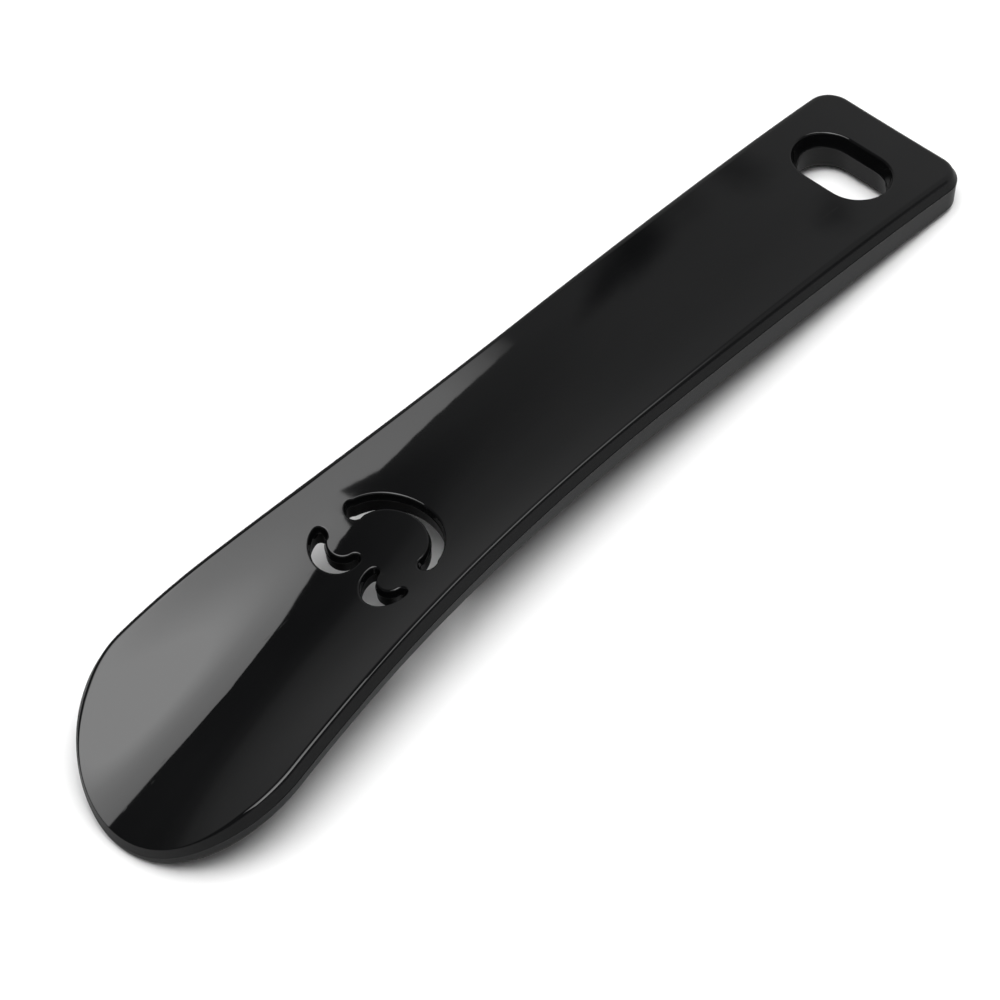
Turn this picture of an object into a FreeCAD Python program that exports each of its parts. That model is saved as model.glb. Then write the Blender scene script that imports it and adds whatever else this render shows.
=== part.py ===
import FreeCAD, Part
import math
import os

import Sketcher
from FreeCAD import Vector

# One-piece moulded plastic shoehorn, in millimetres.
# X runs from the handle's end to the blade's tip, Y goes across and Z goes up.
# It lies on Z = 0, dished side up, on the lower edge of the handle's end and under the tip.
# Between the two the plate arches clear of the surface.
# The body is drawn with the handle's end at X = 0, then placed with half its length on each
# side of the origin. A station is a distance from the handle's end.

DIMENSIONS = {
    # Plan outline.
    "length": 170.0,
    "end_half_width": 14.3,
    "neck_half_width": 13.85,
    "neck_station": 72.0,
    "corner_radius": 4.6,
    "flare_radius": 576.0,
    "shoulder_radius": 450.0,
    "tip_radius": 18.2,
    # Side view: heights of the top face's centre line, as the control values of a Bezier law.
    "arch_end": 6.856,
    "arch_rear": 14.78,
    "arch_middle": 14.25,
    "arch_front": 20.13,
    "arch_tip": 3.417,
    # Depth of the top face's dish, from its centre line up to the section's edges.
    "dish_end": 0.2,
    "dish_rear": 0.71,
    "dish_middle": 2.31,
    "dish_front": 11.64,
    "dish_tip": 5.87,
    # Plate thickness on the centre line.
    "plate_end": 6.984,
    "plate_rear": 8.749,
    "plate_middle": 3.259,
    "plate_front": 2.095,
    "plate_tip": 3.852,
    # Depth of the underside's dish, shallower than the top's, which leaves a strong rim.
    "under_end": 0.1,
    "under_rear": 2.15,
    "under_middle": -5.25,
    "under_front": 11.64,
    "under_tip": 3.85,
    # Both dishes steepen away from the centre line and ease off again towards the rims.
    "rim_ease": 0.35,
    # Sections are drawn wider than the outline, which then trims them.
    "section_half_width": 19.5,
    "trim_margin": 12.0,
    # Roundings.
    "top_rounding": 1.1,
    "under_rounding": 0.9,
    # Hanging slot, across the handle.
    "slot_station": 13.7,
    "slot_half_length": 7.6,
    "slot_end_radius": 4.7,
    "slot_rounding": 0.9,
    # Mouth cut-out: an arc that is thickest at its middle, with a round at each end.
    "mouth_outer_radius": 8.3,
    "mouth_outer_station": 114.8,
    "mouth_inner_radius": 6.2,
    "mouth_inner_station": 114.4,
    "mouth_end_station": 113.6,
    "cheek_station": 113.7,
    "cheek_spread": 7.25,
    "cheek_radius": 1.2,
    # Eye cut-outs: two crescents that open towards the mouth.
    "eye_spread": 5.0,
    "eye_outer_station": 119.7,
    "eye_outer_radius": 3.75,
    "eye_inner_station": 118.5,
    "eye_inner_radius": 2.65,
    "eye_near_end_station": 119.2,
    "eye_far_end_station": 120.0,
}

# Stations of the loft's sections, as fractions of the length; the first and last lie
# just past the outline.
STATIONS = (-0.02, 0.1, 0.2, 0.3, 0.4, 0.5, 0.6, 0.7, 0.8, 0.9, 1.02)
LAW_STEPS = ("end", "rear", "middle", "front", "tip")

doc = FreeCAD.newDocument("shoehorn")


def make_sheet():
    """The driving dimensions, one row each: name, value, alias."""
    sheet = doc.addObject("Spreadsheet::Sheet", "dims")
    for row, (name, value) in enumerate(DIMENSIONS.items(), start=1):
        sheet.set(f"A{row}", name)
        sheet.set(f"B{row}", str(value))
        sheet.setAlias(f"B{row}", name)
    doc.recompute()
    return sheet


dims = make_sheet()
body = doc.addObject("PartDesign::Body", "shoehorn_body")
body.Label = "shoehorn_body"
body.Placement = FreeCAD.Placement(Vector(-dims.get("length") / 2, 0, 0), FreeCAD.Rotation())
body.setExpression("Placement.Base.x", "-dims.length / 2")


def law(quantity, fraction):
    """Expression for a Bezier law of the sheet's five control values, at a fraction of the length."""
    degree = len(LAW_STEPS) - 1
    terms = []
    for index, step in enumerate(LAW_STEPS):
        weight = math.comb(degree, index) * fraction**index * (1 - fraction) ** (degree - index)
        terms.append(f"({weight:.8f}) * dims.{quantity}_{step}")
    return " + ".join(terms)


def law_value(quantity, fraction):
    """Value of the same law, for a sketch's starting shape."""
    degree = len(LAW_STEPS) - 1
    total = 0.0
    for index, step in enumerate(LAW_STEPS):
        weight = math.comb(degree, index) * fraction**index * (1 - fraction) ** (degree - index)
        total += weight * dims.get(f"{quantity}_{step}")
    return total


def make_sketch(name, plane):
    """A sketch of the body, flat on one of its origin planes."""
    sketch = body.newObject("Sketcher::SketchObject", name)
    for feature in body.Origin.OriginFeatures:
        if feature.Role == plane:
            sketch.AttachmentSupport = [(feature, "")]
    sketch.MapMode = "FlatFace"
    return sketch


def bind(sketch, expression, *constraint):
    """A constraint of the sketch whose size follows an expression of the sheet."""
    index = sketch.addConstraint(Sketcher.Constraint(*constraint))
    sketch.setExpression(f"Constraints[{index}]", expression)


def arc_between(centre, radius, start, end):
    """Counter-clockwise arc from one point to another."""
    first = math.atan2(start.y - centre.y, start.x - centre.x)
    last = math.atan2(end.y - centre.y, end.x - centre.x)
    while last < first:
        last += 2 * math.pi
    return Part.ArcOfCircle(Part.Circle(centre, Vector(0, 0, 1), radius), first, last)


def add_section(index, fraction):
    """Cross-section at one station: dished top curve, side lines and the underside's curve."""
    sketch = make_sketch(f"section_{index}", "YZ_Plane")
    sketch.setExpression("AttachmentOffset.Base.z", f"dims.length * {fraction}")
    half = dims.get("section_half_width")
    ease = dims.get("rim_ease")
    top_height = law_value("arch", fraction)
    faces = (
        ("dish", top_height, law("arch", fraction)),
        (
            "under",
            top_height - law_value("plate", fraction),
            f"{law('arch', fraction)} - ({law('plate', fraction)})",
        ),
    )
    curves = []
    for name, height, height_law in faces:
        depth = law_value(name, fraction)
        # Control points from one edge to the other: side step and height.
        edge_point = (height + depth, f"{height_law} + ({law(name, fraction)})")
        ease_point = (height + ease * depth, f"{height_law} + dims.rim_ease * ({law(name, fraction)})")
        middle_point = (
            height - (1 + 4 * ease) / 3 * depth,
            f"{height_law} - (1 + 4 * dims.rim_ease) / 3 * ({law(name, fraction)})",
        )
        controls = (
            (-1.0, edge_point), (-0.5, ease_point), (0.0, middle_point), (0.5, ease_point), (1.0, edge_point),
        )
        poles = [Vector(side * half, control[0], 0) for side, control in controls]
        spline = Part.BSplineCurve()
        spline.buildFromPolesMultsKnots(poles, [5, 5], [0.0, 1.0], False, 4)
        curve = sketch.addGeometry(spline)
        sketch.exposeInternalGeometry(curve)
        for pole, (side, control) in enumerate(controls, start=curve + 1):
            bind(sketch, f"{side} * dims.section_half_width", "DistanceX", -1, 1, pole, 3, side * half)
            bind(sketch, control[1], "DistanceY", -1, 1, pole, 3, control[0])
        curves.append(curve)
    top_curve, under_curve = curves
    for end in (1, 2):
        upper = sketch.getPoint(top_curve, end)
        lower = sketch.getPoint(under_curve, end)
        side_line = sketch.addGeometry(Part.LineSegment(lower, upper))
        sketch.addConstraint(Sketcher.Constraint("Coincident", side_line, 1, under_curve, end))
        sketch.addConstraint(Sketcher.Constraint("Coincident", side_line, 2, top_curve, end))
    return sketch


def add_blank():
    """The arched and dished plate, before its outline is cut."""
    sections = [add_section(index, fraction) for index, fraction in enumerate(STATIONS)]
    doc.recompute()
    loft = body.newObject("PartDesign::AdditiveLoft", "blank")
    loft.Profile = sections[0]
    loft.Sections = sections[1:]
    doc.recompute()
    return loft


def meeting_centre(first, first_distance, second, second_distance):
    """Lower point at the given distances from two centres."""
    span = second - first
    along = (span.Length**2 + first_distance**2 - second_distance**2) / (2 * span.Length)
    across = math.sqrt(first_distance**2 - along**2)
    unit = span.normalize()
    foot = first + unit * along
    one = foot + Vector(-unit.y, unit.x, 0) * across
    other = foot - Vector(-unit.y, unit.x, 0) * across
    return one if one.y < other.y else other


def add_outline():
    """Everything outside the plan outline, as one pocket through the blank."""
    length = dims.get("length")
    end_half = dims.get("end_half_width")
    corner = dims.get("corner_radius")
    flare = dims.get("flare_radius")
    shoulder = dims.get("shoulder_radius")
    tip = dims.get("tip_radius")
    neck = Vector(dims.get("neck_station"), dims.get("neck_half_width"), 0)
    side_start = Vector(corner, end_half, 0)
    along = (neck - side_start).normalize()
    outward = Vector(-along.y, along.x, 0)
    flare_centre = neck + outward * flare
    tip_centre = Vector(length - tip, 0, 0)
    shoulder_centre = meeting_centre(flare_centre, flare + shoulder, tip_centre, shoulder - tip)
    flare_end = flare_centre + (shoulder_centre - flare_centre).normalize() * flare
    tip_start = tip_centre + (tip_centre - shoulder_centre).normalize() * tip
    corner_centre = Vector(corner, end_half - corner, 0)
    corner_start = Vector(0, end_half - corner, 0)

    sketch = make_sketch("outline", "XY_Plane")

    def flipped(point):
        return Vector(point.x, -point.y, 0)

    # Upper half, then its mirror image below the X axis.
    upper = [
        Part.LineSegment(side_start, neck),
        arc_between(corner_centre, corner, side_start, corner_start),
        arc_between(flare_centre, flare, neck, flare_end),
        arc_between(shoulder_centre, shoulder, tip_start, flare_end),
    ]
    lower = [
        Part.LineSegment(flipped(side_start), flipped(neck)),
        arc_between(flipped(corner_centre), corner, flipped(corner_start), flipped(side_start)),
        arc_between(flipped(flare_centre), flare, flipped(flare_end), flipped(neck)),
        arc_between(flipped(shoulder_centre), shoulder, flipped(flare_end), flipped(tip_start)),
    ]
    side, corner_arc, flare_arc, shoulder_arc = sketch.addGeometry(upper)
    side_low, corner_low, flare_low, shoulder_low = sketch.addGeometry(lower)
    tip_arc = sketch.addGeometry(arc_between(tip_centre, tip, flipped(tip_start), tip_start))
    end_line = sketch.addGeometry(Part.LineSegment(corner_start, flipped(corner_start)))

    tangents = (
        (side, 1, corner_arc, 1), (side, 2, flare_arc, 1), (flare_arc, 2, shoulder_arc, 2),
        (shoulder_arc, 1, tip_arc, 2), (corner_arc, 2, end_line, 1),
    )
    for tangent in tangents:
        sketch.addConstraint(Sketcher.Constraint("Tangent", *tangent))
    joints = (
        (side_low, 1, corner_low, 2), (side_low, 2, flare_low, 2), (flare_low, 1, shoulder_low, 1),
        (shoulder_low, 2, tip_arc, 1), (corner_low, 1, end_line, 2),
    )
    for joint in joints:
        sketch.addConstraint(Sketcher.Constraint("Coincident", *joint))
    mirrored = (
        (side, 1, side_low, 1), (side, 2, side_low, 2), (flare_arc, 2, flare_low, 1),
        (shoulder_arc, 1, shoulder_low, 2), (corner_arc, 2, corner_low, 1),
    )
    for pair in mirrored:
        sketch.addConstraint(Sketcher.Constraint("Symmetric", *pair, -1))
    for one, other in ((corner_arc, corner_low), (flare_arc, flare_low), (shoulder_arc, shoulder_low)):
        sketch.addConstraint(Sketcher.Constraint("Equal", one, other))
    sketch.addConstraint(Sketcher.Constraint("PointOnObject", corner_arc, 2, -2))
    bind(sketch, "dims.end_half_width - dims.corner_radius", "DistanceY", -1, 1, corner_arc, 3,
         end_half - corner)
    bind(sketch, "dims.corner_radius", "Radius", corner_arc, corner)
    bind(sketch, "dims.neck_station", "DistanceX", -1, 1, side, 2, neck.x)
    bind(sketch, "dims.neck_half_width", "DistanceY", -1, 1, side, 2, neck.y)
    bind(sketch, "dims.flare_radius", "Radius", flare_arc, flare)
    bind(sketch, "dims.shoulder_radius", "Radius", shoulder_arc, shoulder)
    bind(sketch, "dims.tip_radius", "Radius", tip_arc, tip)
    bind(sketch, "dims.length - dims.tip_radius", "DistanceX", -1, 1, tip_arc, 3, tip_centre.x)

    # Frame around the outline: the pocket takes what lies between the two.
    margin = dims.get("trim_margin")
    reach = dims.get("section_half_width") + margin
    corners = [
        Vector(-margin, -reach, 0), Vector(length + margin, -reach, 0),
        Vector(length + margin, reach, 0), Vector(-margin, reach, 0),
    ]
    frame = [
        sketch.addGeometry(Part.LineSegment(corners[index], corners[(index + 1) % 4]))
        for index in range(4)
    ]
    for index in range(4):
        following = frame[(index + 1) % 4]
        sketch.addConstraint(Sketcher.Constraint("Coincident", frame[index], 2, following, 1))
        direction = "Horizontal" if index % 2 == 0 else "Vertical"
        sketch.addConstraint(Sketcher.Constraint(direction, frame[index]))
    reach_law = "dims.section_half_width + dims.trim_margin"
    bind(sketch, "-dims.trim_margin", "DistanceX", -1, 1, frame[0], 1, -margin)
    bind(sketch, f"-({reach_law})", "DistanceY", -1, 1, frame[0], 1, -reach)
    bind(sketch, "dims.length + dims.trim_margin", "DistanceX", -1, 1, frame[1], 2, length + margin)
    bind(sketch, reach_law, "DistanceY", -1, 1, frame[1], 2, reach)
    return cut_through("trim", sketch)


def cut_through(name, sketch):
    """Pocket of a plan sketch, right through the plate."""
    doc.recompute()
    before = body.Shape.Volume
    pocket = body.newObject("PartDesign::Pocket", name)
    pocket.Profile = sketch
    pocket.Type = "ThroughAll"
    pocket.Midplane = True
    doc.recompute()
    if not pocket.Shape.Volume < before:
        raise RuntimeError(f"{name} removes nothing")
    return pocket


def face_edges(shape, face):
    """Names of a face's outer edges in the whole shape."""
    names = []
    for edge in face.OuterWire.Edges:
        for index, other in enumerate(shape.Edges, start=1):
            if other.isSame(edge):
                names.append(f"Edge{index}")
    return names


def main_face(shape, highest):
    """The dished top face, or the underside."""
    curved = [face for face in shape.Faces if face.Surface.TypeId == "Part::GeomBSplineSurface"]
    curved.sort(key=lambda face: face.Area, reverse=True)
    pair = sorted(curved[:2], key=lambda face: face.CenterOfMass.z)
    return pair[1] if highest else pair[0]


def hole_edges(shape, station):
    """Names of the two main faces' inner edges around the opening at a station."""
    names = []
    for highest in (True, False):
        face = main_face(shape, highest)
        for wire in face.Wires:
            if wire.isSame(face.OuterWire):
                continue
            if not wire.BoundBox.XMin < station < wire.BoundBox.XMax:
                continue
            for edge in wire.Edges:
                for index, other in enumerate(shape.Edges, start=1):
                    if other.isSame(edge):
                        names.append(f"Edge{index}")
    return names


def add_rounding(name, feature, edges, alias):
    """Fillet of named edges, its radius from the sheet."""
    fillet = body.newObject("PartDesign::Fillet", name)
    fillet.Base = (feature, edges)
    fillet.Refine = False
    fillet.Radius = dims.get(alias)
    fillet.setExpression("Radius", f"dims.{alias}")
    doc.recompute()
    return fillet


def add_slot():
    """Hanging slot: a stadium across the handle."""
    station = dims.get("slot_station")
    radius = dims.get("slot_end_radius")
    offset = dims.get("slot_half_length") - radius
    sketch = make_sketch("hanging_slot", "XY_Plane")
    points = [
        Vector(station + radius, -offset, 0), Vector(station + radius, offset, 0),
        Vector(station - radius, offset, 0), Vector(station - radius, -offset, 0),
    ]
    far, near = sketch.addGeometry([
        Part.LineSegment(points[0], points[1]), Part.LineSegment(points[2], points[3]),
    ])
    upper, lower = sketch.addGeometry([
        arc_between(Vector(station, offset, 0), radius, points[1], points[2]),
        arc_between(Vector(station, -offset, 0), radius, points[3], points[0]),
    ])
    for joint in ((far, 2, upper, 1), (upper, 2, near, 1), (near, 2, lower, 1), (lower, 2, far, 1)):
        sketch.addConstraint(Sketcher.Constraint("Tangent", *joint))
    sketch.addConstraint(Sketcher.Constraint("Symmetric", upper, 3, lower, 3, -1))
    sketch.addConstraint(Sketcher.Constraint("Vertical", far))
    bind(sketch, "dims.slot_end_radius", "Radius", upper, radius)
    bind(sketch, "dims.slot_station", "DistanceX", -1, 1, upper, 3, station)
    bind(sketch, "dims.slot_half_length - dims.slot_end_radius", "DistanceY", -1, 1, upper, 3, offset)
    return cut_through("slot_cut", sketch)


def circle_point(centre, radius, station, side):
    """Point of a circle at a station, on the side of larger or smaller Y."""
    rise = math.sqrt(radius**2 - (station - centre.x) ** 2)
    return Vector(station, centre.y + side * rise, 0)


def add_mouth():
    """Mouth: an outer and an inner arc with straight ends, which the cheeks then round."""
    outer_radius = dims.get("mouth_outer_radius")
    inner_radius = dims.get("mouth_inner_radius")
    end = dims.get("mouth_end_station")
    outer_centre = Vector(dims.get("mouth_outer_station"), 0, 0)
    inner_centre = Vector(dims.get("mouth_inner_station"), 0, 0)
    sketch = make_sketch("mouth", "XY_Plane")
    outer, inner = sketch.addGeometry([
        arc_between(outer_centre, outer_radius, circle_point(outer_centre, outer_radius, end, 1),
                    circle_point(outer_centre, outer_radius, end, -1)),
        arc_between(inner_centre, inner_radius, circle_point(inner_centre, inner_radius, end, 1),
                    circle_point(inner_centre, inner_radius, end, -1)),
    ])
    for arc, name in ((outer, "outer"), (inner, "inner")):
        sketch.addConstraint(Sketcher.Constraint("PointOnObject", arc, 3, -1))
        bind(sketch, f"dims.mouth_{name}_station", "DistanceX", -1, 1, arc, 3,
             dims.get(f"mouth_{name}_station"))
        bind(sketch, f"dims.mouth_{name}_radius", "Radius", arc, dims.get(f"mouth_{name}_radius"))
        for point in (1, 2):
            bind(sketch, "dims.mouth_end_station", "DistanceX", -1, 1, arc, point, end)
    for point in (1, 2):
        line = Part.LineSegment(sketch.getPoint(outer, point), sketch.getPoint(inner, point))
        closing = sketch.addGeometry(line)
        sketch.addConstraint(Sketcher.Constraint("Coincident", closing, 1, outer, point))
        sketch.addConstraint(Sketcher.Constraint("Coincident", closing, 2, inner, point))
    return cut_through("mouth_cut", sketch)


def add_cheeks():
    """A round at each end of the mouth."""
    radius = dims.get("cheek_radius")
    station = dims.get("cheek_station")
    spread = dims.get("cheek_spread")
    sketch = make_sketch("cheeks", "XY_Plane")
    for side in (1, -1):
        centre = Vector(station, side * spread, 0)
        circle = sketch.addGeometry(Part.Circle(centre, Vector(0, 0, 1), radius))
        bind(sketch, "dims.cheek_radius", "Radius", circle, radius)
        bind(sketch, "dims.cheek_station", "DistanceX", -1, 1, circle, 3, station)
        bind(sketch, f"{side} * dims.cheek_spread", "DistanceY", -1, 1, circle, 3, side * spread)
    return cut_through("cheek_cut", sketch)


def add_eyes():
    """Eyes: two crescents, each an outer and an inner arc joined by round ends.

    The end away from the centre line is the shorter one.
    """
    spread = dims.get("eye_spread")
    sketch = make_sketch("eyes", "XY_Plane")
    for side in (1, -1):
        ends = {side: "eye_far_end_station", -side: "eye_near_end_station"}
        arcs = []
        for name in ("outer", "inner"):
            radius = dims.get(f"eye_{name}_radius")
            centre = Vector(dims.get(f"eye_{name}_station"), side * spread, 0)
            start = circle_point(centre, radius, dims.get(ends[-1]), -1)
            stop = circle_point(centre, radius, dims.get(ends[1]), 1)
            arc = sketch.addGeometry(arc_between(centre, radius, start, stop))
            bind(sketch, f"dims.eye_{name}_station", "DistanceX", -1, 1, arc, 3, centre.x)
            bind(sketch, f"{side} * dims.eye_spread", "DistanceY", -1, 1, arc, 3, centre.y)
            bind(sketch, f"dims.eye_{name}_radius", "Radius", arc, radius)
            for point, across in ((1, -1), (2, 1)):
                end = ends[across]
                bind(sketch, f"dims.{end}", "DistanceX", -1, 1, arc, point, dims.get(end))
            arcs.append(arc)
        outer, inner = arcs
        for point, across in ((1, -1), (2, 1)):
            end = ends[across]
            one = sketch.getPoint(outer, point)
            other = sketch.getPoint(inner, point)
            middle = (one + other) * 0.5
            radius = (one - other).Length / 2
            first, last = (one, other) if one.y > other.y else (other, one)
            closing = sketch.addGeometry(arc_between(middle, radius, first, last))
            first_arc, last_arc = (outer, inner) if first is one else (inner, outer)
            sketch.addConstraint(Sketcher.Constraint("Coincident", closing, 1, first_arc, point))
            sketch.addConstraint(Sketcher.Constraint("Coincident", closing, 2, last_arc, point))
            bind(sketch, f"dims.{end}", "DistanceX", -1, 1, closing, 3, dims.get(end))
    return cut_through("eye_cut", sketch)


def build():
    """The whole moulding: plate, outline, openings, and the roundings last."""
    add_blank()
    add_outline()
    add_slot()
    add_mouth()
    add_cheeks()
    feature = add_eyes()
    top_edges = face_edges(feature.Shape, main_face(feature.Shape, True))
    feature = add_rounding("top_rim", feature, top_edges, "top_rounding")
    under_edges = face_edges(feature.Shape, main_face(feature.Shape, False))
    feature = add_rounding("under_rim", feature, under_edges, "under_rounding")
    slot_edges = hole_edges(feature.Shape, dims.get("slot_station"))
    add_rounding("slot_rims", feature, slot_edges, "slot_rounding")


def check_and_write():
    """Stop on any failed feature, then write the piece."""
    doc.recompute()
    for item in doc.Objects:
        if "Invalid" in item.State or "Error" in item.State:
            raise RuntimeError(f"{item.Name} failed: {item.State}")
    if body.Shape.isNull() or not body.Shape.isValid():
        raise RuntimeError("shoehorn_body has no valid shape")
    if len(body.Shape.Solids) != 1:
        raise RuntimeError("shoehorn_body is not one solid")
    os.makedirs("parts", exist_ok=True)
    body.Shape.exportStep(f"parts/{body.Label}.step")
    points, _ = body.Shape.tessellate(0.02)
    for axis in ("x", "y", "z"):
        values = [getattr(point, axis) for point in points]
        print(f"{body.Label} {axis.upper()}: {min(values):.3f} to {max(values):.3f} mm")
    print(f"{body.Label} volume: {body.Shape.Volume:.0f} mm3")


build()
check_and_write()
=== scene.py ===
import math

import bpy
import numpy as np
from mathutils import Matrix, Vector
from mathutils.geometry import delaunay_2d_cdt


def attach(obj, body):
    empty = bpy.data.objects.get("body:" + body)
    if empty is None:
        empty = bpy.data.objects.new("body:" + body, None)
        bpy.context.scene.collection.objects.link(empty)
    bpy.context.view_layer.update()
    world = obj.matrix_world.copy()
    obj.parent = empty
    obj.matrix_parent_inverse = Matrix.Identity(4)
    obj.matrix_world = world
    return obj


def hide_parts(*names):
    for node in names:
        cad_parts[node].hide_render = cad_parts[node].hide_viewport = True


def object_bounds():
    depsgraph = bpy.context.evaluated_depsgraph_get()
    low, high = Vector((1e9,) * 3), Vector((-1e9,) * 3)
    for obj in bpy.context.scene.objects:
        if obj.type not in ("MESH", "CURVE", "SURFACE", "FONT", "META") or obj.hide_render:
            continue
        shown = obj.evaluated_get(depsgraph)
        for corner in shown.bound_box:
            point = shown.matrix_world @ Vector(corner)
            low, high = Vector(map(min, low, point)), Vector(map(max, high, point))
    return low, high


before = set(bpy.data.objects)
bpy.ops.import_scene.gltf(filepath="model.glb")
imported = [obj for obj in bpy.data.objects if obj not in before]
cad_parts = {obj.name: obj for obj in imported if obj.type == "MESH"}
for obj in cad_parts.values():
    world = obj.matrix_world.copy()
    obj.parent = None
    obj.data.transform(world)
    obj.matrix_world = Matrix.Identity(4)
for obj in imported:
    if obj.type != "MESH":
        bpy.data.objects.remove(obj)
cad_low, cad_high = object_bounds()

# ---------------------------------------------------------------- the moulding's own sizes
# Millimetres. Stations run from the handle's end. The laws of the CAD solid's faces are repeated
# here, so that the skin's faces follow the solid's.

MM = 0.001
LENGTH = round((cad_high.x - cad_low.x) / MM, 2)
START_X = cad_low.x / MM
SECTION_HALF = 19.5

TOP_HEIGHT = (6.856, 14.78, 14.25, 20.13, 3.417)
TOP_DISH = (0.2, 0.71, 2.31, 11.64, 5.87)
PLATE = (6.984, 8.749, 3.259, 2.095, 3.852)
UNDER_DISH = (0.1, 2.15, -5.25, 11.64, 3.85)
RIM_EASE = 0.35

# Edges: rounding of the top rim, of the lower rim, how far the mould's parting line lies under
# the rim's crest, the two drafts in degrees that meet at it, the flash that stands on it, and
# how much rounder the top rim is along the handle.
OUTER_EDGE = {"top": 0.65, "under": 0.9, "parting": 1.95, "draft": (24.0, 4.0), "flash": 0.04,
              "handle_more": 1.0}
SLOT_EDGE = {"top": 0.4, "under": 0.9, "parting": 2.4, "draft": (20.0, 3.0), "flash": 0.06,
             "handle_more": 0.0}
FACE_EDGE = {"top": 0.35, "under": 0.3, "parting": 1.3, "draft": (10.0, 2.0), "flash": 0.05,
             "handle_more": 0.0}
# Half of the flash's height on the wall.
FLASH_HALF = 0.2
# Stations between which the handle's rounder rim fades into the blade's.
HANDLE_RIM = (30.0, 90.0)
# The rim steepens and sharpens towards the toe: stations between which it does, and what is left.
TOE_RIM = (158.0, 169.0)
TOE_RIM_LEFT = 0.2

# The smiling face: two arcs and a round for the mouth, and two arcs for each eye.
MOUTH_OUTER, MOUTH_OUTER_RADIUS = (114.8, 0.0), 8.3
MOUTH_INNER, MOUTH_INNER_RADIUS = (114.4, 0.0), 6.2
CHEEK, CHEEK_RADIUS = (113.7, 7.25), 1.2
EYE_OUTER, EYE_OUTER_RADIUS = (119.7, 0.0), 3.75
EYE_INNER, EYE_INNER_RADIUS = (118.5, 0.0), 2.65
EYE_FAR_STATION, EYE_NEAR_STATION = 120.0, 119.2
EYE_ACROSS = 5.0

# Where the hollow beside the openings stops following the mouth's arc and the eyes' arcs.
MOUTH_ARC_END = 113.6
EYE_ARC_START = 118.8

# Moulded unevenness of the top face: the hollow beside the openings, how far it reaches, and the
# height of a slow wave.
SINK_DEPTH = 0.03
SINK_REACH = 2.2
WAVE_HEIGHT = 0.006

# Dense step along a curve before it is sampled evenly, and the gap below which two points are one.
CHAIN_STEP = 0.02
SAME_POINT = 1e-9
# How often a rounding's place on its face, and a wall's inset underneath, are worked out again.
ROUNDING_REPEATS = 60
WALL_REPEATS = 20
# Least angle between two directions that is divided by.
LEAST_ANGLE = 1e-6
# Rings of a rounding for each millimetre of its radius, and the fewest, at the top and underneath.
TOP_RINGS_PER_MM, TOP_RINGS_LEAST = 12, 5
UNDER_RINGS_PER_MM, UNDER_RINGS_LEAST = 8, 4
# Rings across the flash, and where the rings of the wall below it lie on the way down.
FLASH_RINGS = 9
WALL_RING_SHARES = (0.25, 0.5, 0.75)
# Grid of points in the two main faces: where it starts, its spacing, and the share of the spacing
# that stays free along a rim.
GRID_START = 0.4
TOP_SPACING, UNDER_SPACING = 0.9, 1.2
RIM_CLEARANCE = 0.45
# Triangulation: the kind of result that keeps only what is inside the outlines, and its accuracy.
ONLY_INSIDE, CDT_ACCURACY = 1, 1e-7

# Sockets of a colour mix.
MIX_FACTOR, MIX_FIRST, MIX_SECOND, MIX_RESULT = 0, 6, 7, 2
WHITE = (1.0, 1.0, 1.0, 1.0)


def bezier(values, fraction):
    """Bezier law of the fraction of the length."""
    degree = len(values) - 1
    total = 0.0
    for index, value in enumerate(values):
        weight = math.comb(degree, index) * fraction**index * (1 - fraction) ** (degree - index)
        total = total + weight * value
    return total


def dish_rise(y, depth):
    """Height of a dish above its middle: it steepens, then eases off again near the rims."""
    side = y / SECTION_HALF
    return depth * ((1 + RIM_EASE) * side**2 - RIM_EASE * side**4)


def cut_distance(x, y):
    """Rough distance from the rims of the smiling face's openings."""
    mouth_middle, mouth_radius, mouth_end = 114.6, 7.3, (113.8, 7.4)
    eye_middle, eye_radius, eye_end = 119.2, 3.3, (119.2, 3.1)
    mouth = np.abs(np.hypot(x - mouth_middle, y) - mouth_radius)
    beside_mouth = np.hypot(x - mouth_end[0], np.abs(y) - mouth_end[1])
    mouth = np.where(x < MOUTH_ARC_END, mouth, beside_mouth)
    eye_y = np.abs(y) - EYE_ACROSS
    eye = np.abs(np.hypot(x - eye_middle, eye_y) - eye_radius)
    beside_eye = np.hypot(x - eye_end[0], np.abs(eye_y) - eye_end[1])
    eye = np.where(x > EYE_ARC_START, eye, beside_eye)
    return np.minimum(mouth, eye)


def top_z(x, y):
    """Height of the dished top face, with its moulded unevenness."""
    fraction = x / LENGTH
    base = bezier(TOP_HEIGHT, fraction) + dish_rise(y, bezier(TOP_DISH, fraction))
    sink = -SINK_DEPTH * np.exp(-((cut_distance(x, y) / SINK_REACH) ** 2))
    wave = WAVE_HEIGHT * np.sin(0.21 * x + 0.9) * np.cos(0.17 * y + 0.4)
    return base + sink + wave


def under_z(x, y):
    """Height of the underside."""
    fraction = x / LENGTH
    middle = bezier(TOP_HEIGHT, fraction) - bezier(PLATE, fraction)
    return middle + dish_rise(y, bezier(UNDER_DISH, fraction))


def unit(vectors):
    return vectors / np.linalg.norm(vectors, axis=-1, keepdims=True)


def face_normal(height, x, y, side):
    """Outward normal of a height surface; side is 1 on top and -1 underneath."""
    step = 0.01
    slope_x = (height(x + step, y) - height(x - step, y)) / (2 * step)
    slope_y = (height(x, y + step) - height(x, y - step)) / (2 * step)
    return side * unit(np.stack([-slope_x, -slope_y, np.ones_like(x)], axis=-1))


# ---------------------------------------------------------------- plan curves


def arc(centre, radius, first, last):
    """Dense points of an arc between two angles, in radians, in that direction."""
    count = max(8, int(abs(last - first) * radius / CHAIN_STEP))
    angles = np.linspace(first, last, count)
    return np.stack([centre[0] + radius * np.cos(angles), centre[1] + radius * np.sin(angles)], -1)


def line(start, end):
    """Dense points of a straight line."""
    count = max(8, int(math.dist(start, end) / CHAIN_STEP))
    return np.linspace(start, end, count)


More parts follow.
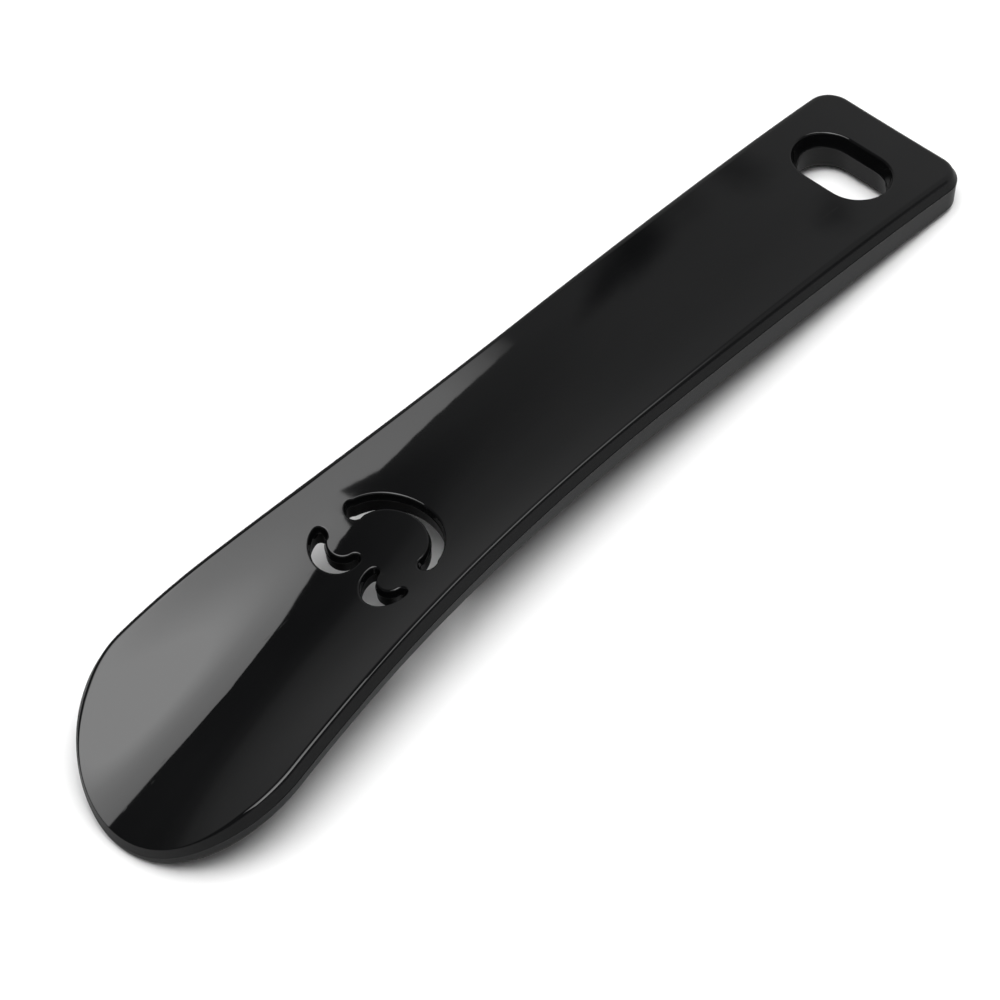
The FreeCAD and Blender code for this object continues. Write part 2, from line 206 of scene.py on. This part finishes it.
def circles_meet(first, first_radius, second, second_radius):
    """The two points that two circles share."""
    first, second = np.array(first), np.array(second)
    span = np.linalg.norm(second - first)
    along = (span**2 + first_radius**2 - second_radius**2) / (2 * span)
    across = math.sqrt(first_radius**2 - along**2)
    unit_span = (second - first) / span
    foot = first + unit_span * along
    normal = np.array([-unit_span[1], unit_span[0]])
    return foot + normal * across, foot - normal * across


def angle_of(centre, point):
    return math.atan2(point[1] - centre[1], point[0] - centre[0])


def closed_curve(points, spacing, soften):
    """Even samples of a closed chain with softened corners, and its normals on the right."""
    chain = np.concatenate([points, points[:1]])
    steps = np.linalg.norm(np.diff(chain, axis=0), axis=1)
    chain = chain[np.concatenate([[True], steps > SAME_POINT])]
    travelled = np.concatenate([[0.0], np.cumsum(np.linalg.norm(np.diff(chain, axis=0), axis=1))])
    fine_count = int(travelled[-1] / CHAIN_STEP)
    fine_at = np.arange(fine_count) * travelled[-1] / fine_count
    fine = np.stack([np.interp(fine_at, travelled, chain[:, axis]) for axis in (0, 1)], -1)
    frequency = np.fft.fftfreq(fine_count, d=travelled[-1] / fine_count)
    keep = np.exp(-2 * (math.pi * frequency * soften) ** 2)
    fine = np.stack([np.fft.ifft(np.fft.fft(fine[:, axis]) * keep).real for axis in (0, 1)], -1)
    tangent = unit(np.roll(fine, -1, axis=0) - np.roll(fine, 1, axis=0))
    normal = np.stack([tangent[:, 1], -tangent[:, 0]], -1)
    count = int(travelled[-1] / spacing)
    chosen = (np.arange(count) * fine_count / count).astype(int)
    return fine[chosen], normal[chosen]


def outer_outline():
    """Whole outline, counter-clockwise: half the tip, shoulder, flare, side, corner and end."""
    end_half, corner = 14.3, 4.6
    neck = np.array([72.0, 13.85])
    flare, shoulder, tip = 576.0, 450.0, 18.2
    side_start = np.array([corner, end_half])
    along = unit(neck - side_start)
    flare_centre = neck + np.array([-along[1], along[0]]) * flare
    tip_centre = np.array([LENGTH - tip, 0.0])
    meets = circles_meet(flare_centre, flare + shoulder, tip_centre, shoulder - tip)
    shoulder_centre = min(meets, key=lambda point: point[1])
    flare_end = flare_centre + unit(shoulder_centre - flare_centre) * flare
    tip_start = tip_centre + unit(tip_centre - shoulder_centre) * tip
    corner_centre = np.array([corner, end_half - corner])
    half = [
        arc(tip_centre, tip, 0.0, angle_of(tip_centre, tip_start)),
        arc(shoulder_centre, shoulder, angle_of(shoulder_centre, tip_start),
            angle_of(shoulder_centre, flare_end)),
        arc(flare_centre, flare, angle_of(flare_centre, flare_end), angle_of(flare_centre, neck)),
        line(neck, side_start),
        arc(corner_centre, corner, math.pi / 2, math.pi),
        line((0.0, end_half - corner), (0.0, 0.0)),
    ]
    upper = np.concatenate(half)
    lower = (upper * (1, -1))[::-1]
    return closed_curve(np.concatenate([upper, lower]), spacing=0.7, soften=0.12)


def slot_outline():
    """Stadium across the handle, clockwise."""
    station, radius, offset = 13.7, 4.7, 2.9
    points = [
        arc((station, offset), radius, math.pi, 0.0),
        line((station + radius, offset), (station + radius, -offset)),
        arc((station, -offset), radius, 0.0, -math.pi),
        line((station - radius, -offset), (station - radius, offset)),
    ]
    return closed_curve(np.concatenate(points), spacing=0.45, soften=0.12)


def mouth_outline():
    """Band between two arcs with a round at each end, clockwise."""
    outer_meets = circles_meet(MOUTH_OUTER, MOUTH_OUTER_RADIUS, CHEEK, CHEEK_RADIUS)
    inner_meets = circles_meet(MOUTH_INNER, MOUTH_INNER_RADIUS, CHEEK, CHEEK_RADIUS)
    outer_end = min(outer_meets, key=lambda point: point[0])
    inner_end = min(inner_meets, key=lambda point: point[0])
    outer_angle = angle_of(MOUTH_OUTER, outer_end)
    inner_angle = angle_of(MOUTH_INNER, inner_end)
    cheek = arc(CHEEK, CHEEK_RADIUS, angle_of(CHEEK, outer_end), angle_of(CHEEK, inner_end))
    points = [
        arc(MOUTH_OUTER, MOUTH_OUTER_RADIUS, 2 * math.pi - outer_angle, outer_angle),
        cheek,
        arc(MOUTH_INNER, MOUTH_INNER_RADIUS, inner_angle, 2 * math.pi - inner_angle),
        (cheek * (1, -1))[::-1],
    ]
    return closed_curve(np.concatenate(points), spacing=0.16, soften=0.16)


def eye_outline(side):
    """Crescent between two arcs with round ends, clockwise; its far end is the shorter one."""
    outer_ends, inner_ends, rounds = [], [], []
    for station, across in ((EYE_FAR_STATION, 1), (EYE_NEAR_STATION, -1)):
        outer_y = math.sqrt(EYE_OUTER_RADIUS**2 - (station - EYE_OUTER[0]) ** 2)
        inner_y = math.sqrt(EYE_INNER_RADIUS**2 - (station - EYE_INNER[0]) ** 2)
        outer_ends.append(angle_of(EYE_OUTER, (station, across * outer_y)))
        inner_ends.append(angle_of(EYE_INNER, (station, across * inner_y)))
        rounds.append(((station, across * (outer_y + inner_y) / 2), (outer_y - inner_y) / 2))
    points = np.concatenate([
        arc(EYE_OUTER, EYE_OUTER_RADIUS, *outer_ends),
        arc(*rounds[1], -math.pi / 2, -3 * math.pi / 2),
        arc(EYE_INNER, EYE_INNER_RADIUS, *inner_ends[::-1]),
        arc(*rounds[0], 3 * math.pi / 2, math.pi / 2),
    ])
    points = points if side > 0 else (points * (1, -1))[::-1]
    return closed_curve(points + (0.0, side * EYE_ACROSS), spacing=0.14, soften=0.12)


# ---------------------------------------------------------------- the skin


class Skin:
    """Vertices, their normals and the faces, gathered ring by ring."""

    def __init__(self):
        self.points = []
        self.normals = []
        self.faces = []
        self.count = 0

    def add(self, points, normals):
        """Keep some vertices; returns their numbers."""
        self.points.append(points)
        self.normals.append(normals)
        first = self.count
        self.count += len(points)
        return np.arange(first, self.count)

    def bridge(self, upper, lower):
        """Four-sided faces between two closed rings of the same length."""
        following_upper, following_lower = np.roll(upper, -1), np.roll(lower, -1)
        for ring in zip(upper, lower, following_lower, following_upper):
            self.faces.append([int(index) for index in ring])


def turned(first, last, share):
    """Direction part of the way between two unit directions."""
    angle = np.arccos(np.clip((first * last).sum(-1, keepdims=True), -1, 1))
    angle = np.maximum(angle, LEAST_ANGLE)
    return (np.sin((1 - share) * angle) * first + np.sin(share * angle) * last) / np.sin(angle)


def lifted(plan, z):
    """Plan points with their heights."""
    return np.concatenate([plan, z[:, None]], axis=1)


def rounding(plan, outward, radius, inset, height, side):
    """Ball centres of a rim's rounding and the face's normals where it touches the face."""
    target = plan - outward * inset[:, None]
    touch = target.copy()
    for _ in range(ROUNDING_REPEATS):
        normal = face_normal(height, touch[:, 0], touch[:, 1], side)
        touch = target + radius[:, None] * normal[:, :2]
    z = height(touch[:, 0], touch[:, 1]) - radius * normal[:, 2]
    return lifted(target, z), normal


def wall_inset(rise, drafts, flash):
    """How far inside the outline the wall lies at a height over the parting line, and its slope."""
    upper, lower = (np.tan(draft) for draft in drafts)
    inset = np.where(rise > 0, upper * rise, -lower * rise)
    slope = np.where(rise > 0, upper, -lower)
    near = np.clip(np.abs(rise) / FLASH_HALF, 0, 1)
    inset = inset + flash * np.sin(near * math.pi / 2) ** 2
    flash_slope = flash * math.pi / (2 * FLASH_HALF) * np.sin(near * math.pi) * np.sign(rise)
    return inset, slope + flash_slope


def tilted(outward, slope):
    """Outward directions in plan, tilted up by a slope."""
    normal = np.concatenate([outward, np.zeros((len(outward), 1)) + slope[:, None]], axis=1)
    return unit(normal)


def eased(x, first, last):
    """Smooth step from 0 at the first station to 1 at the last."""
    share = np.clip((x - first) / (last - first), 0, 1)
    return share**2 * (3 - 2 * share)


def add_edge(skin, plan, outward, edge):
    """Rounding, wall with its parting line and lower rounding; returns the first and last rings."""
    flash = edge["flash"]
    strength = 1 - (1 - TOE_RIM_LEFT) * eased(plan[:, 0], *TOE_RIM)
    upper_draft = math.radians(edge["draft"][0]) * strength
    lower_draft = math.radians(edge["draft"][1])
    zeros = np.zeros(len(plan))

    along_handle = 1 - eased(plan[:, 0], *HANDLE_RIM)
    radius = edge["top"] * strength * (1 + edge["handle_more"] * along_handle)
    start = flash + (radius + (edge["parting"] - radius) * np.sin(upper_draft)) / np.cos(upper_draft)
    centre, face = rounding(plan, outward, radius, start, top_z, 1)
    parting = centre[:, 2] + radius - edge["parting"]
    wall = tilted(outward, np.tan(upper_draft))
    rings = []
    steps = max(TOP_RINGS_LEAST, int(edge["top"] * TOP_RINGS_PER_MM))
    for share in np.linspace(0, 1, steps + 1):
        direction = turned(face, wall, share)
        rings.append(skin.add(centre + radius[:, None] * direction, direction))
    wall_top = centre[:, 2] + radius * np.sin(upper_draft) - parting

    under = edge["under"]
    lower_inset = zeros + flash + under
    for _ in range(WALL_REPEATS):
        low_centre, low_face = rounding(plan, outward, zeros + under, lower_inset, under_z, -1)
        fall = parting - low_centre[:, 2]
        lower_inset = flash + (under + fall * math.sin(lower_draft)) / math.cos(lower_draft)
    wall_low = low_centre[:, 2] - under * math.sin(lower_draft) - parting

    heights = [(wall_top + FLASH_HALF) / 2]
    heights += [zeros + FLASH_HALF * share for share in np.linspace(1, -1, FLASH_RINGS)]
    heights += [-FLASH_HALF + (wall_low + FLASH_HALF) * share for share in WALL_RING_SHARES]
    for rise in heights:
        inset, slope = wall_inset(rise, (upper_draft, lower_draft), flash)
        points = lifted(plan - outward * inset[:, None], parting + rise)
        rings.append(skin.add(points, tilted(outward, slope)))

    low_wall = tilted(outward, zeros - math.tan(lower_draft))
    steps = max(UNDER_RINGS_LEAST, int(under * UNDER_RINGS_PER_MM))
    for share in np.linspace(0, 1, steps + 1):
        direction = turned(low_wall, low_face, share)
        rings.append(skin.add(low_centre + under * direction, direction))

    for upper, lower in zip(rings, rings[1:]):
        skin.bridge(upper, lower)
    return rings[0], rings[-1]


def inside(points, loop):
    """Which plan points lie inside a closed loop."""
    following = np.roll(loop, -1, axis=0)
    result = np.zeros(len(points), bool)
    for (ax, ay), (bx, by) in zip(loop, following):
        if ay == by:
            continue
        crosses = (ay > points[:, 1]) != (by > points[:, 1])
        at = ax + (points[:, 1] - ay) * (bx - ax) / (by - ay)
        result ^= crosses & (points[:, 0] < at)
    return result


def add_face(skin, loops, height, side, spacing):
    """A main face: the skin between the outer ring and the rings of the openings."""
    everything = np.concatenate(skin.points)
    plans = [everything[loop][:, :2] for loop in loops]
    xs = np.arange(GRID_START, LENGTH, spacing)
    ys = np.arange(-SECTION_HALF, SECTION_HALF, spacing)
    grid = np.stack(np.meshgrid(xs, ys, indexing="ij"), -1)
    grid[::2, :, 1] += spacing / 2
    grid = grid.reshape(-1, 2)
    keep = inside(grid, plans[0])
    for plan in plans[1:]:
        keep &= ~inside(grid, plan)
    grid = grid[keep]
    rim = np.concatenate(plans)
    near = np.full(len(grid), np.inf)
    for point in rim:
        near = np.minimum(near, np.hypot(grid[:, 0] - point[0], grid[:, 1] - point[1]))
    grid = grid[near > spacing * RIM_CLEARANCE]
    normals = face_normal(height, grid[:, 0], grid[:, 1], side)
    added = skin.add(lifted(grid, height(grid[:, 0], grid[:, 1])), normals)
    names = np.concatenate(list(loops) + [added])
    edges, first = [], 0
    for loop in loops:
        order = np.arange(first, first + len(loop))
        edges += [(int(a), int(b)) for a, b in zip(order, np.roll(order, -1))]
        first += len(loop)
    flat = [Vector(point) for point in np.concatenate([rim, grid])]
    result = delaunay_2d_cdt(flat, edges, [], ONLY_INSIDE, CDT_ACCURACY)
    where, _, triangles, sources = result[:4]
    if len(where) != len(flat):
        raise RuntimeError("the face's outline crosses itself")
    middles = np.array([sum((where[index] for index in triangle), Vector((0, 0))) / 3
                        for triangle in triangles])
    open_space = np.zeros(len(middles), bool)
    for plan in plans[1:]:
        open_space |= inside(middles, plan)
    for triangle, is_open in zip(triangles, open_space):
        if is_open:
            continue
        corners = [int(names[sources[index][0]]) for index in triangle]
        a, b, c = (where[index] for index in triangle)
        turn = (b - a).cross(c - a) * side
        skin.faces.append(corners if turn > 0 else corners[::-1])


def make_skin():
    """The visible moulding as one smooth closed mesh, with the normals of its surfaces."""
    skin = Skin()
    tops, unders = [], []
    edges = [
        (outer_outline(), OUTER_EDGE),
        (slot_outline(), SLOT_EDGE),
        (mouth_outline(), FACE_EDGE),
        (eye_outline(1), FACE_EDGE),
        (eye_outline(-1), FACE_EDGE),
    ]
    for (plan, outward), edge in edges:
        top, under = add_edge(skin, plan, outward, edge)
        tops.append(top)
        unders.append(under)
    add_face(skin, tops, top_z, 1, TOP_SPACING)
    add_face(skin, unders, under_z, -1, UNDER_SPACING)

    points = np.concatenate(skin.points)
    normals = np.concatenate(skin.normals)
    points[:, 0] += START_X
    mesh = bpy.data.meshes.new("shoehorn_skin")
    mesh.from_pydata((points * MM).tolist(), [], skin.faces)
    mesh.update()
    mesh.shade_smooth()
    mesh.normals_split_custom_set_from_vertices(normals.tolist())
    piece = bpy.data.objects.new("shoehorn_skin", mesh)
    bpy.context.scene.collection.objects.link(piece)
    return piece


# ---------------------------------------------------------------- materials


def new_material(name):
    """A material, its nodes, its links and its shader."""
    material = bpy.data.materials.new(name)
    material.use_nodes = True
    nodes = material.node_tree.nodes
    return material, nodes, material.node_tree.links, nodes["Principled BSDF"]


def ramp(nodes, links, source, stops):
    """Colour ramp over a value; a stop holds its position and a grey or a colour."""
    node = nodes.new("ShaderNodeValToRGB")
    links.new(source, node.inputs["Fac"])
    elements = node.color_ramp.elements
    while len(elements) < len(stops):
        elements.new(1.0)
    for element, (position, value) in zip(elements, stops):
        element.position = position
        element.color = (*value, 1) if isinstance(value, tuple) else (value, value, value, 1)
    return node.outputs["Color"]


def noise(nodes, links, source, scale, detail, roughness=0.5):
    """Noise value over a place."""
    node = nodes.new("ShaderNodeTexNoise")
    links.new(source, node.inputs["Vector"])
    node.inputs["Scale"].default_value = scale
    node.inputs["Detail"].default_value = detail
    node.inputs["Roughness"].default_value = roughness
    return node.outputs["Fac"]


def mixed(nodes, links, factor, first, second):
    """The first colour, or the second where the factor is 1; the second may be a plain colour."""
    node = nodes.new("ShaderNodeMix")
    node.data_type = "RGBA"
    links.new(factor, node.inputs[MIX_FACTOR])
    links.new(first, node.inputs[MIX_FIRST])
    if isinstance(second, tuple):
        node.inputs[MIX_SECOND].default_value = second
    else:
        links.new(second, node.inputs[MIX_SECOND])
    return node.outputs[MIX_RESULT]


def bump(nodes, links, height, distance, strength, normal=None):
    """Normal bent by a height, on top of another bump if there is one."""
    node = nodes.new("ShaderNodeBump")
    links.new(height, node.inputs["Height"])
    node.inputs["Distance"].default_value = distance
    node.inputs["Strength"].default_value = strength
    if normal is not None:
        links.new(normal, node.inputs["Normal"])
    return node.outputs["Normal"]


def black_plastic():
    """Gloss black moulded plastic: flow mottle, faint orange peel and hairline scratches."""
    material, nodes, links, shader = new_material("body_plastic")
    place = nodes.new("ShaderNodeTexCoord").outputs["Object"]

    flow = nodes.new("ShaderNodeMapping")
    flow.inputs["Scale"].default_value = (0.35, 1.0, 1.0)
    links.new(place, flow.inputs["Vector"])
    flow = flow.outputs["Vector"]

    tint = noise(nodes, links, flow, scale=90.0, detail=3.0)
    blacks = ((0.3, (0.0022, 0.0023, 0.0025)), (0.7, (0.0036, 0.0037, 0.0039)))
    links.new(ramp(nodes, links, tint, blacks), shader.inputs["Base Color"])

    smear = noise(nodes, links, flow, scale=60.0, detail=4.0, roughness=0.6)
    links.new(ramp(nodes, links, smear, ((0.3, 0.03), (0.75, 0.06))), shader.inputs["Roughness"])

    peel = noise(nodes, links, place, scale=260.0, detail=1.0)
    peeled = bump(nodes, links, peel, distance=0.000006, strength=1.0)

    scratch_place = nodes.new("ShaderNodeMapping")
    scratch_place.inputs["Rotation"].default_value = (0.0, 0.0, 0.25)
    scratch_place.inputs["Scale"].default_value = (0.06, 3.0, 1.0)
    links.new(place, scratch_place.inputs["Vector"])
    scratch = noise(nodes, links, scratch_place.outputs["Vector"], scale=900.0, detail=2.0)
    scratch = ramp(nodes, links, scratch, ((0.70, 1.0), (0.78, 0.0)))
    scratched = bump(nodes, links, scratch, distance=0.0000015, strength=1.0, normal=peeled)
    links.new(scratched, shader.inputs["Normal"])

    shader.inputs["IOR"].default_value = 1.5
    return material


def pale_floor():
    """Plain white paper with a barely visible tooth; where the gloss mirrors it, it is painted much
    darker, as painted shade standing in for the shadowed floor that the walls mirror.
    """
    material, nodes, links, shader = new_material("pale_floor")
    place = nodes.new("ShaderNodeTexCoord").outputs["Object"]
    shade = noise(nodes, links, place, scale=30.0, detail=2.0)
    paper = ramp(nodes, links, shade, ((0.3, 0.84), (0.7, 0.86)))
    # Painted shade: the paper's tone as the gloss mirrors it, much darker than the paper itself.
    mirrored_painted_shade = ramp(nodes, links, shade, ((0.3, 0.215), (0.7, 0.23)))
    glossy = nodes.new("ShaderNodeLightPath").outputs["Is Glossy Ray"]
    links.new(mixed(nodes, links, glossy, paper, mirrored_painted_shade), shader.inputs["Base Color"])
    tooth = noise(nodes, links, place, scale=1500.0, detail=2.0)
    toothed = bump(nodes, links, tooth, distance=0.00002, strength=0.3)
    links.new(toothed, shader.inputs["Normal"])
    shader.inputs["Roughness"].default_value = 0.9
    shader.inputs["Specular IOR Level"].default_value = 0.2
    return material


# ---------------------------------------------------------------- studio
# Metres.

FLOOR_HALF = 1.4

SOFTBOX_HEIGHT = 1.5
SOFTBOX_RADIANCE = 5.5
SOFTBOX_OUTLINE = (
    (0.95, -0.61), (0.26, -0.587), (0.065, -0.545), (-0.14, -0.345), (-0.228, -0.185),
    (-0.32, -0.095), (-0.453, -0.035), (-0.54, 0.37), (-0.605, 0.175), (-0.76, 0.062),
    (-0.94, -0.12), (-1.05, -0.24), (-1.2, -0.2), (-1.2, 0.85), (0.95, 0.85),
)
# The softbox's bright spot: how its place is moved and scaled, and the tones towards its middle.
SPOT_MOVE = (-0.217, -0.3, 0.0)
SPOT_SCALE = (0.62, 0.75, 0.0)
SPOT_TONES = ((0.06, 0.05), (0.12, 0.27), (0.22, 0.47), (0.5, 0.58), (0.62, 0.68), (0.78, 0.95))

# The room: the direction in which it darkens, and its tones along that direction.
ROOM_SLOPE = (0.6, -0.2, 1.0)
ROOM_TONES = ((0.15, 0.36), (0.35, 0.30), (0.5, 0.27), (0.62, 0.2), (0.7, 0.1), (0.82, 0.055))
# Dark stands: the direction each is in, how far its full shade and its soft edge reach from
# there, and the share of light it leaves. The first five are behind the handle and show as soft
# smudges along its far edge; the last is the dark side of the room, which shows in the near rim.
STANDS = (
    ((-0.628, -0.28, 0.726), 0.01, 0.075, 0.15),
    ((-0.595, -0.25, 0.764), 0.0, 0.06, 0.3),
    ((-0.665, -0.325, 0.672), 0.0, 0.05, 0.6),
    ((-0.686, -0.37, 0.626), 0.0, 0.04, 0.5),
    ((-0.686, -0.45, 0.572), 0.0, 0.03, 0.55),
    ((-0.3, 0.8, 0.52), 0.3, 0.6, 0.25),
)


def add_floor():
    """Flat paper under the shoehorn."""
    size = FLOOR_HALF
    mesh = bpy.data.meshes.new("floor")
    corners = [(-size, -size, 0), (size, -size, 0), (size, size, 0), (-size, size, 0)]
    mesh.from_pydata(corners, [], [(0, 1, 2, 3)])
    floor = bpy.data.objects.new("floor", mesh)
    bpy.context.scene.collection.objects.link(floor)
    floor.location.z = cad_low.z
    floor.data.materials.append(pale_floor())


def add_softbox():
    """Large overhead softbox, brightest off the blade's tip."""
    mesh = bpy.data.meshes.new("softbox")
    corners = [(x, y, SOFTBOX_HEIGHT) for x, y in SOFTBOX_OUTLINE]
    mesh.from_pydata(corners, [], [range(len(corners))])
    softbox = bpy.data.objects.new("softbox", mesh)
    bpy.context.scene.collection.objects.link(softbox)
    material = bpy.data.materials.new("softbox")
    material.use_nodes = True
    nodes, links = material.node_tree.nodes, material.node_tree.links
    nodes.clear()
    emission = nodes.new("ShaderNodeEmission")
    place = nodes.new("ShaderNodeMapping")
    place.inputs["Location"].default_value = SPOT_MOVE
    place.inputs["Scale"].default_value = SPOT_SCALE
    links.new(nodes.new("ShaderNodeTexCoord").outputs["Object"], place.inputs["Vector"])
    spot = nodes.new("ShaderNodeTexGradient")
    spot.gradient_type = "SPHERICAL"
    links.new(place.outputs["Vector"], spot.inputs["Vector"])
    tone = ramp(nodes, links, spot.outputs["Fac"], SPOT_TONES)
    links.new(tone, emission.inputs["Color"])
    emission.inputs["Strength"].default_value = SOFTBOX_RADIANCE
    output = nodes.new("ShaderNodeOutputMaterial")
    links.new(emission.outputs["Emission"], output.inputs["Surface"])
    mesh.materials.append(material)


def add_panel(name, place, aim, width, height, power):
    """Soft light that brightens the floor; the gloss doesn't mirror it."""
    data = bpy.data.lights.new(name, "AREA")
    data.shape = "RECTANGLE"
    data.size, data.size_y = width, height
    data.energy = power
    light = bpy.data.objects.new(name, data)
    bpy.context.scene.collection.objects.link(light)
    turn = (Vector(aim) - Vector(place)).to_track_quat("-Z", "Y").to_matrix()
    light.matrix_world = Matrix.Translation(place) @ turn.to_4x4()
    light.visible_glossy = False


def add_world():
    """Dim studio, darkest overhead; the white backdrop is seen only by the camera."""
    world = bpy.data.worlds.new("studio")
    world.use_nodes = True
    nodes, links = world.node_tree.nodes, world.node_tree.links
    direction = nodes.new("ShaderNodeTexCoord").outputs["Generated"]
    slope = nodes.new("ShaderNodeVectorMath")
    slope.operation = "DOT_PRODUCT"
    slope.inputs[1].default_value = ROOM_SLOPE
    links.new(direction, slope.inputs[0])
    tone = ramp(nodes, links, slope.outputs["Value"], ROOM_TONES)
    seen = nodes.new("ShaderNodeLightPath").outputs["Is Camera Ray"]
    background = nodes["Background"]
    links.new(mixed(nodes, links, seen, tone, WHITE), background.inputs["Color"])
    strength = None
    for towards, inner, outer, level in STANDS:
        gap = nodes.new("ShaderNodeVectorMath")
        gap.operation = "DISTANCE"
        gap.inputs[1].default_value = towards
        links.new(direction, gap.inputs[0])
        shade = nodes.new("ShaderNodeMapRange")
        shade.interpolation_type = "SMOOTHSTEP"
        links.new(gap.outputs["Value"], shade.inputs["Value"])
        shade.inputs["From Min"].default_value = inner
        shade.inputs["From Max"].default_value = outer
        shade.inputs["To Min"].default_value = level
        if strength is None:
            strength = shade.outputs["Result"]
            continue
        both = nodes.new("ShaderNodeMath")
        both.operation = "MULTIPLY"
        links.new(strength, both.inputs[0])
        links.new(shade.outputs["Result"], both.inputs[1])
        strength = both.outputs["Value"]
    links.new(strength, background.inputs["Strength"])
    bpy.context.scene.world = world


def add_camera():
    """Long lens above the near side, looking down over the blade towards the handle."""
    azimuth, elevation, roll = math.radians(45.58), math.radians(51.83), math.radians(-4.0)
    distance = 3.457 * LENGTH * MM
    sensor, focal = 36.0, 4.002
    offset_x, offset_y = 0.0302, -0.0403
    target = Vector((0.0, 0.0, 0.0051))
    back = Vector((math.cos(elevation) * math.cos(azimuth), math.cos(elevation) * math.sin(azimuth),
                   math.sin(elevation)))
    right = (-back).cross(Vector((0, 0, 1))).normalized()
    up = right.cross(-back)
    turned_right = right * math.cos(roll) + up * math.sin(roll)
    turned_up = up * math.cos(roll) - right * math.sin(roll)
    data = bpy.data.cameras.new("camera")
    data.sensor_width = sensor
    data.lens = sensor * focal
    data.shift_x = -offset_x
    data.shift_y = offset_y
    data.clip_start, data.clip_end = 0.01, 20.0
    camera = bpy.data.objects.new("camera", data)
    bpy.context.scene.collection.objects.link(camera)
    rotation = Matrix((turned_right, turned_up, back)).transposed()
    camera.matrix_world = Matrix.Translation(target + back * distance) @ rotation.to_4x4()
    bpy.context.scene.camera = camera


# ---------------------------------------------------------------- scene

piece = make_skin()
piece.data.materials.append(black_plastic())
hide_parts("shoehorn_body")
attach(piece, "root")

add_floor()
add_world()
add_softbox()
add_panel("floor_fill", place=(-0.05, 0.1, 1.4), aim=(0.0, 0.0, 0.0), width=1.2, height=1.0, power=10.5)
bpy.context.scene.view_settings.view_transform = "Standard"
add_camera()
